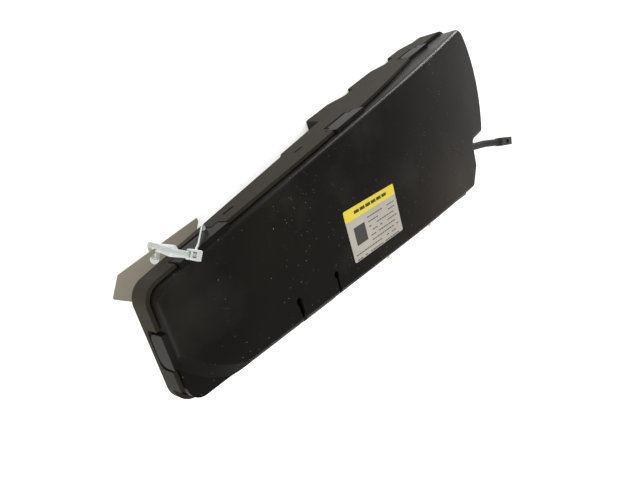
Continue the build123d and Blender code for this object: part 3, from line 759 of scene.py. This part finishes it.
tie = {
    "width": 0.0023, "thickness": 0.0007, "bend": 2.2, "toothPitch": 0.00095,
    "head": (0.006, 0.005, 0.0045), "headPlace": (-0.2445, 0.01468, 0.06725), "turn": -34.0,
    "tail": 0.020, "tailSteps": 10, "kinkAt": 0.0075, "kink": 5.0, "kinkRuns": (0.003, 0.006),
    "route": [
        (-242.75, 14.68, 64.9), (-233.05, 14.68, 54.3), (-218.3, 19.58, 39.95),
        (-218.3, 8.78, 39.95), (-237.7, 4.41, 39.95), (-237.7, 15.21, 39.95),
        (-232.0, 13.49, 1.2), (-232.0, 4.0, 1.2), (-232.0, 4.0, 5.8),
        (-242.5, 15.13, 31.2), (-246.25, 14.68, 50.5), (-246.25, 14.68, 65.4),
    ],
    "flatRun": 6,   # the run that lies flat beneath the tag
}
tooth = (tie["toothPitch"] * 0.45, tie["width"] * 0.6, 0.0002)


def roundedRoute(corners, bend):
    # Points along straight runs and tangent arcs, with each point's direction
    corners = [Vector(corner) for corner in corners]
    path = [(corners[0], (corners[1] - corners[0]).normalized())]
    for before, corner, after in zip(corners, corners[1:], corners[2:]):
        runIn, runOut = corner - before, after - corner
        a, b = runIn.normalized(), runOut.normalized()
        turn = a.angle(b)
        cut = min(bend * math.tan(turn / 2), 0.45 * min(runIn.length, runOut.length))
        radius = cut / math.tan(turn / 2)
        side = (b - a * a.dot(b)).normalized()
        centre = corner - a * cut + side * radius
        steps = max(3, round(math.degrees(turn) / 9))
        for step in range(steps + 1):
            angle = turn * step / steps
            place = centre - side * math.cos(angle) * radius + a * math.sin(angle) * radius
            path.append((place, (a * math.cos(angle) + side * math.sin(angle)).normalized()))
    path.append((corners[-1], (corners[-1] - corners[-2]).normalized()))
    return path


def carryWidth(path, start, axis):
    # Width direction at every point, carried without twist from the start both ways
    widths = {start: Vector(axis)}
    for step in (1, -1):
        index = start
        while 0 <= index + step < len(path):
            turn = path[index][1].rotation_difference(path[index + step][1])
            widths[index + step] = turn @ widths[index]
            index += step
    return [widths[index] for index in range(len(path))]


def bandMesh(name, path, widths, width, thickness):
    corner = thickness * 0.28
    outline = []
    for x, z in ((1, 1), (-1, 1), (-1, -1), (1, -1)):
        edgeX, edgeZ = x * width / 2, z * thickness / 2
        pair = [(edgeX - x * corner, edgeZ), (edgeX, edgeZ - z * corner)]
        outline += pair[::-1] if x * z > 0 else pair

    def build(shape):
        rings = []
        for (place, ahead), wide in zip(path, widths):
            thin = ahead.cross(wide).normalized()
            rings.append([shape.verts.new(place + wide * x + thin * z) for x, z in outline])
        for first, second in zip(rings, rings[1:]):
            for index in range(len(outline)):
                after = (index + 1) % len(outline)
                shape.faces.new((first[index], first[after], second[after], second[index]))
        shape.faces.new(rings[0])
        shape.faces.new(list(reversed(rings[-1])))

    return meshFrom(name, build, smooth=False)


def toothSpots(path, widths, pitch):
    # Teeth sit on the straight runs of the band's ratchet side
    spots = []
    for (here, ahead), (there, after), wide in zip(path, path[1:], widths):
        run = (there - here).length
        if ahead.dot(after) < 0.9999 or run < 3 * pitch:
            continue
        thin = ahead.cross(wide).normalized()
        for step in range(1, int(run / pitch)):
            place = here + ahead * pitch * step + thin * tie["thickness"] * 0.5
            spots.append((place, ahead, thin))
    return spots


def makeTieStrap():
    corners = [Vector(corner) * millimetre for corner in tie["route"]]
    path = roundedRoute(corners, tie["bend"] * millimetre)
    low = corners[tie["flatRun"]]
    flat = min(range(len(path)), key=lambda index: (path[index][0] - low).length)
    flat = next(index for index in range(flat, len(path)) if path[index][1].y < -0.999)
    widths = carryWidth(path, flat, (1, 0, 0))
    strap = bandMesh("tieStrap", path, widths, tie["width"], tie["thickness"])
    teeth = growOn("tieTeeth", toothSpots(path, widths, tie["toothPitch"]), blockRow, {
        "Size": tooth, "Finish": tieNylon,
    })
    finishPiece(strap, "housing", tieNylon, ["tie_strap"])
    finishGrown(teeth, "housing")


def makeTieHead():
    length, width, height = tie["head"]
    wall, edge = 0.0009, 0.0003
    matrix = Matrix.Translation(tie["headPlace"])
    matrix = matrix @ Matrix.Rotation(math.radians(tie["turn"]), 4, "Z")

    def build(shape):
        for side in (-1, 1):   # side walls and end lips
            roundedBlock(
                shape, (length, wall * 1.3, height),
                (0, side * (width - wall * 1.3) / 2, 0), 0.0005, 3,
            )
            roundedBlock(
                shape, (wall, width - wall, height * 0.42),
                (side * (length - wall) / 2, 0, -height * 0.27), edge,
            )
        across, rise = width - wall, height / 2 - wall / 2
        roundedBlock(shape, (length, across, wall), (0, 0, -height / 2 + wall / 2), edge)
        roundedBlock(shape, (length * 0.45, across, wall), (length * 0.26, 0, rise), edge)
        roundedBlock(shape, (length * 0.16, across, wall), (-length * 0.41, 0, rise), edge)
        roundedBlock(   # pawl
            shape, (length * 0.42, width * 0.36, 0.0007),
            (-length * 0.06, 0, height * 0.22), 0.0002,
        )

    head = moved(meshFrom("tieHead", build, smooth=False), matrix)
    finishPiece(head, "housing", tieNylon, ["tie_head"])
    path = [(Vector((-0.0026, 0, 0)), Vector((-1, 0, 0)))]
    kink = math.radians(tie["kink"])
    for step in range(tie["tailSteps"] + 1):
        run = tie["tail"] * step / tie["tailSteps"]
        over = max(run - tie["kinkAt"], 0)
        angle = kink * min(over / tie["kinkRuns"][0], 1)
        side = over * math.tan(kink * min(over / tie["kinkRuns"][1], 1)) * 0.8
        path.append((
            Vector((-length / 2 - run * 0.995, side, 0)),
            Vector((-math.cos(angle), math.sin(angle), 0)),
        ))
    widths = [Vector((-ahead.y, ahead.x, 0)) for _, ahead in path]
    tail = moved(bandMesh("tieTail", path, widths, tie["width"], tie["thickness"]), matrix)
    spots = []
    for (here, ahead), (there, after) in zip(path[1:], path[2:]):
        middle = (here + there) / 2
        spots += [(here, ahead, (0, 0, 1)), (middle, ahead, (0, 0, 1))]
    spots = [((x, y, tie["thickness"] / 2), ahead, up) for (x, y, z), ahead, up in spots]
    teeth = growOn("tieTailTeeth", spots, blockRow, {
        "Size": tooth, "Finish": tieNylon,
    })
    moved(teeth, matrix)
    finishPiece(tail, "housing", tieNylon, ["tie_tail"])
    finishGrown(teeth, "housing")


makeTieStrap()
makeTieHead()
print("cable tie closed")


# Threads of the two studs

def makeThreads():
    stud = {"radius": 0.00285, "rib": 0.00022, "turns": 12.5, "reach": 0.0125, "start": -0.0612}
    spots = [((x, stud["start"], 0.0268), (1, 0, 0), (0, -1, 0)) for x in (-0.058, 0.012)]
    thread = growOn("studThreads", spots, screwThread, {
        "Radius": stud["radius"], "Rib": stud["rib"], "Turns": stud["turns"],
        "Reach": stud["reach"], "Finish": studSteel,
    })
    finishGrown(thread, "housing")


makeThreads()
print("studs threaded")


# Soft goods inside the case

def meshCopy(node, name, merge=0.00002):
    shape = bmesh.new()
    shape.from_mesh(node.data)
    bmesh.ops.remove_doubles(shape, verts=shape.verts, dist=merge)
    mesh = bpy.data.meshes.new(name)
    shape.to_mesh(mesh)
    shape.free()
    return addObject(name, mesh)


def addModifier(piece, kind, **settings):
    modifier = piece.modifiers.new(kind.lower(), kind)
    for key, value in settings.items():
        setattr(modifier, key, value)
    return modifier


def treeOf(piece):
    places = [vert.co.copy() for vert in piece.data.vertices]
    return BVHTree.FromPolygons(places, [tuple(face.vertices) for face in piece.data.polygons])


def dropOnto(tree, x, y):
    # Place and normal of the surface below a point, or None
    hit, normal, _, _ = tree.ray_cast(Vector((x, y, 0.08)), Vector((0, 0, -1)))
    return (hit, normal) if hit else None


def puffPad(pad, pressure, frames, cap):
    # The pad swells under a little pressure, and no point moves further than the cap
    rest = [vert.co.copy() for vert in pad.data.vertices]
    cloth = addModifier(pad, "CLOTH")
    cloth.settings.quality = 5
    cloth.settings.mass = 0.2
    cloth.settings.use_pressure = True
    cloth.settings.uniform_pressure_force = pressure
    cloth.settings.effector_weights.gravity = 0
    cloth.settings.tension_stiffness = 12
    cloth.settings.bending_stiffness = 0.6
    cloth.point_cache.frame_start = 1
    cloth.point_cache.frame_end = frames
    for frameNumber in range(1, frames + 1):
        plainScene.frame_set(frameNumber)
    result = bakePiece(pad)
    plainScene.frame_set(1)
    for vert, place in zip(result.data.vertices, rest):
        shift = vert.co - place
        if shift.length > cap:
            vert.co = place + shift.normalized() * cap
    return result


def makeCushion():
    cushion = {
        "voxel": 0.0045, "inset": 0.0022, "pressure": 3.5, "frames": 14, "cap": 0.0018,
        "pleat": 0.0105, "depth": 0.0016, "waves": ((0.0016, 34), (0.0008, 91)),
        "straps": (-0.190, -0.060, 0.040), "strapReach": 0.012, "pucker": 0.0011,
        "gather": 0.00045, "crease": 0.00035,
    }
    pad = meshCopy(nodes["folded_cushion"], "foldedCushion")
    addModifier(pad, "REMESH", mode="VOXEL", voxel_size=cushion["voxel"])
    pad = bakePiece(pad)
    for vert, normal in [(vert, vert.normal.copy()) for vert in pad.data.vertices]:
        vert.co -= normal * cushion["inset"]
    pad = puffPad(pad, cushion["pressure"], cushion["frames"], cushion["cap"])
    addModifier(pad, "SUBSURF", levels=2, render_levels=2)
    pad = bakePiece(pad)
    chance = random.Random(11)
    phases = [chance.uniform(0, math.tau) for _ in range(6)]
    normals = [vert.normal.copy() for vert in pad.data.vertices]
    for vert, normal in zip(pad.data.vertices, normals):
        x, y, z = vert.co
        wave = sum(
            height * math.sin(x * rate + phase)
            for (height, rate), phase in zip(cushion["waves"], phases)
        )
        row = (y + 0.35 * z + wave) / cushion["pleat"]
        near = abs(row - round(row)) * 2   # 0 in a fold, 1 on a pleat's crown
        flat = max(abs(normal.z), 0.25)
        groove = cushion["depth"] * flat * (1 - min(near, 1) ** 0.55)
        wander = 25 * math.sin(y * 120 + phases[2])
        crease = math.sin(x * 310 + wander) * math.sin(y * 260 + phases[3])
        pinch = sum(
            math.exp(-((x - middle) / cushion["strapReach"]) ** 2) for middle in cushion["straps"]
        )
        gather = cushion["gather"] * math.sin(y * 640 + phases[4])
        pucker = (cushion["pucker"] + gather) * pinch
        vert.co -= normal * (groove + pucker + abs(cushion["crease"] * crease))
    for face in pad.data.polygons:
        face.use_smooth = True
    finishPiece(pad, "housing", cushionCloth, ["folded_cushion"])
    sewSeam(pad, cushion)


def sewSeam(pad, cushion):
    # Tear seam of the wrap: two rows of stitches along the top, interrupted by the bands
    seam = {
        "start": -0.236, "end": 0.085, "pitch": 0.0031, "rise": 0.044, "middle": 0.004,
        "rows": (-0.0012, 0.0012), "bandRoom": 0.0105, "lift": 0.0001,
        "stitch": (0.0022, 0.00062, 0.0005),
    }
    tree = treeOf(pad)
    spots = []
    for row in seam["rows"]:
        x = seam["start"]
        while x < seam["end"]:
            below = dropOnto(tree, x, seam["middle"] + seam["rise"] * (x - seam["start"]) + row)
            if below and min(abs(x - middle) for middle in cushion["straps"]) > seam["bandRoom"]:
                place, normal = below
                spots.append((place + normal * seam["lift"], (1, seam["rise"], 0), normal))
            x += seam["pitch"]
    stitches = growOn("cushionSeam", spots, stitchRow, {
        "Size": seam["stitch"], "Finish": seamThread,
    })
    finishGrown(stitches, "housing")


def makeCushionStraps():
    # Webbing bands round the pack, each with edge seams and a sewn box on its upper run
    band = {
        "edge": 0.00015, "halfWidth": 0.009, "margin": 0.0028, "seamInset": (0.004, 0.003),
        "pitch": 0.0024, "stitch": (0.0018, 0.0005, 0.0004),
        "box": 0.015, "boxStart": 0.0055, "boxPitch": 0.0022, "boxSteps": 6,
    }
    for index in (1, 2, 3):
        strap = meshCopy(nodes[f"cushion_strap_{index}"], f"cushionBand{index}")
        addModifier(
            strap, "BEVEL", width=band["edge"], segments=2, limit_method="ANGLE", angle_limit=0.7,
        )
        strap = bakePiece(strap)
        low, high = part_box(f"cushion_strap_{index}")
        middle = (low[0] + high[0]) / 2
        tree = treeOf(strap)
        aims = []
        for side in (-1, 1):
            x = middle + side * (band["halfWidth"] - band["margin"])
            y = low[1] + band["seamInset"][0]
            while y < high[1] - band["seamInset"][1]:
                aims.append((x, y, (0, 1, 0)))
                y += band["pitch"]
        start = (low[1] + high[1]) / 2 - band["box"] / 2
        for row in (0, 0.5, 1):
            for step in range(band["boxSteps"]):
                x = middle - band["boxStart"] + band["boxPitch"] * step
                aims.append((x, start + band["box"] * row, (1, 0, 0)))
        spots = []
        for x, y, along in aims:
            below = dropOnto(tree, x, y)
            if below:
                spots.append((below[0], along, below[1]))
        sewing = growOn(f"cushionBandSewing{index}", spots, stitchRow, {
            "Size": band["stitch"], "Finish": seamThread,
        })
        finishPiece(strap, "housing", strapCloth, [f"cushion_strap_{index}"])
        finishGrown(sewing, "housing")


def makeFoamPads():
    # Firm blocks with a crowned, porous top
    foam = {"clearance": (0.0008, 0.0008, 0.0004), "crown": 0.0011, "pore": 0.00025, "pull": 0.006}

    def refine(shape, longest, cuts):
        edges = [edge for edge in shape.edges if edge.calc_length() > longest]
        bmesh.ops.subdivide_edges(shape, edges=edges, cuts=cuts, use_grid_fill=True)

    for index in (1, 2, 3):
        low, high = [Vector(corner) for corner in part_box(f"foam_pad_{index}")]
        size, middle = high - low, (high + low) / 2
        chance = random.Random(20 + index)
        phase = [chance.uniform(0, math.tau) for _ in range(2)]

        def build(shape):
            roundedBlock(shape, size - Vector(foam["clearance"]), middle, 0)
            refine(shape, size.z * 1.1, 20)
            refine(shape, 0.004, 2)
            for vert in shape.verts:
                x, y = (2 * (vert.co[axis] - middle[axis]) / size[axis] for axis in (0, 1))
                if vert.co.z > middle.z:
                    vert.co.z -= foam["crown"] * max(abs(x), abs(y)) ** 6
                    rough = math.sin(vert.co.x * 2100 + phase[0])
                    rough *= math.sin(vert.co.y * 1900 + phase[1])
                    vert.co.z += foam["pore"] * (rough - 1)
                if abs(x) > 0.99:
                    pull = 1 - foam["pull"] * (1 - y * y)
                    vert.co.x = middle.x + (vert.co.x - middle.x) * pull

        pad = meshFrom(f"foamPad{index}", build, smooth=True)
        finishPiece(pad, "housing", padFoam, [f"foam_pad_{index}"])


makeCushion()
print("cushion folded")
makeCushionStraps()
makeFoamPads()
print("bands sewn and foam laid")


# Label on the cover and card on the tie

def makeLabel():
    label = {"corner": 0.0012, "band": 0.0078}
    low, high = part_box("product_label")
    middle = (Vector(low) + Vector(high)) / 2
    size = Vector(high) - Vector(low)

    def build(shape):
        ring = []
        for turn, (side, rise) in enumerate(((1, 1), (-1, 1), (-1, -1), (1, -1))):
            centre = (side * (size.x / 2 - label["corner"]), rise * (size.y / 2 - label["corner"]))
            for step in range(5):
                angle = math.radians(90 * turn + 22.5 * step)
                ring.append((
                    middle.x + centre[0] + label["corner"] * math.cos(angle),
                    middle.y + centre[1] + label["corner"] * math.sin(angle),
                ))
        bottom = [shape.verts.new((x, y, low[2])) for x, y in ring]
        top = [shape.verts.new((x, y, high[2])) for x, y in ring]
        shape.faces.new(top)
        shape.faces.new(list(reversed(bottom)))
        for index in range(len(ring)):
            after = (index + 1) % len(ring)
            shape.faces.new((bottom[index], bottom[after], top[after], top[index]))

    piece = meshFrom("productLabel", build, smooth=False)
    material, tree, surface, place = startMaterial("labelFilm", (0.5, 0.48, 0.45), 0.42)
    split = addNode(tree, "ShaderNodeSeparateXYZ")
    tree.links.new(place, split.inputs["Vector"])
    onBand = mathNode(tree, "GREATER_THAN", split.outputs["Y"], high[1] - label["band"])
    dirt = placeGroup(tree, mouldGrain, place, Grain=900.0)
    scuff = placeGroup(tree, handlingScuffs, place, Density=0.9)
    ground = mixColour(tree, dirt.outputs["Cloud"], (0.3, 0.275, 0.235), (0.4, 0.37, 0.32))
    yellow = mixColour(tree, dirt.outputs["Cloud"], (0.55, 0.44, 0.01), (0.66, 0.53, 0.014))
    colour = mixColour(tree, onBand, ground, yellow)
    colour = mixColour(tree, scuff.outputs["Hairlines"], colour, (0.2, 0.19, 0.17))
    tree.links.new(colour, surface.inputs["Base Color"])
    addBump(tree, surface, dirt.outputs["Height"], 0.15, 0.0001)
    finishPiece(piece, "cover", material, ["product_label"])
    makePrint(low, high, label["band"])


def makePrint(low, high, band):
    # Plain ink bars and a plain patch where such a label carries its print
    ink = {
        "height": 0.00002, "firstRow": 0.0042, "rowPitch": 0.0033, "rows": 8, "shortRows": 6,
        "left": 0.004, "besidePatch": 0.024, "right": 0.005, "barPitch": 0.0031, "filled": 0.8,
        "thin": (0.0026, 0.0007), "thick": (0.0056, 0.0022), "thickPitch": 0.0066,
        "thickStart": 0.0135, "thickBars": 6, "patch": 0.0125, "patchPlace": (0.0125, 0.0078),
    }
    chance = random.Random(4)
    face = high[2] + ink["height"] / 2
    rowTop = high[1] - band - ink["firstRow"]

    def spot(x, y):
        return (x, y, face), (1, 0, 0), (0, 0, 1)

    thin = []
    for row in range(ink["rows"]):
        x = low[0] + ink["besidePatch" if row < ink["shortRows"] else "left"]
        while x < high[0] - ink["right"]:
            if chance.random() < ink["filled"]:
                thin.append(spot(x, rowTop - ink["rowPitch"] * row))
            x += ink["barPitch"]
    thick = [
        spot(low[0] + ink["thickStart"] + ink["thickPitch"] * step, high[1] - band / 2)
        for step in range(ink["thickBars"])
    ]
    patch = [spot(low[0] + ink["patchPlace"][0], rowTop - ink["patchPlace"][1])]
    for name, spots, size in (
        ("labelPrintThin", thin, ink["thin"]), ("labelPrintThick", thick, ink["thick"]),
        ("labelPatch", patch, (ink["patch"], ink["patch"])),
    ):
        printed = growOn(name, spots, blockRow, {
            "Size": (*size, ink["height"]), "Finish": labelInk,
        })
        finishGrown(printed, "cover")


makeLabel()
print("label set")


def makeTag():
    tag = nodes["parts_tag"]
    material, tree, surface, place = startMaterial("tagCard", (0.25, 0.225, 0.172), 0.8)
    mould = placeGroup(tree, mouldGrain, place, Grain=600.0)
    scuff = placeGroup(tree, handlingScuffs, place, Density=0.9, Turn=1.2)
    colour = mixColour(tree, mould.outputs["Cloud"], (0.265, 0.235, 0.182), (0.2, 0.178, 0.138))
    colour = mixColour(tree, scuff.outputs["Hairlines"], colour, (0.1, 0.09, 0.07))
    tree.links.new(colour, surface.inputs["Base Color"])
    addBump(tree, surface, mould.outputs["Height"], 0.3, 0.0001)
    tag.data.materials.clear()
    tag.data.materials.append(material)


makeTag()
print("tag laid")
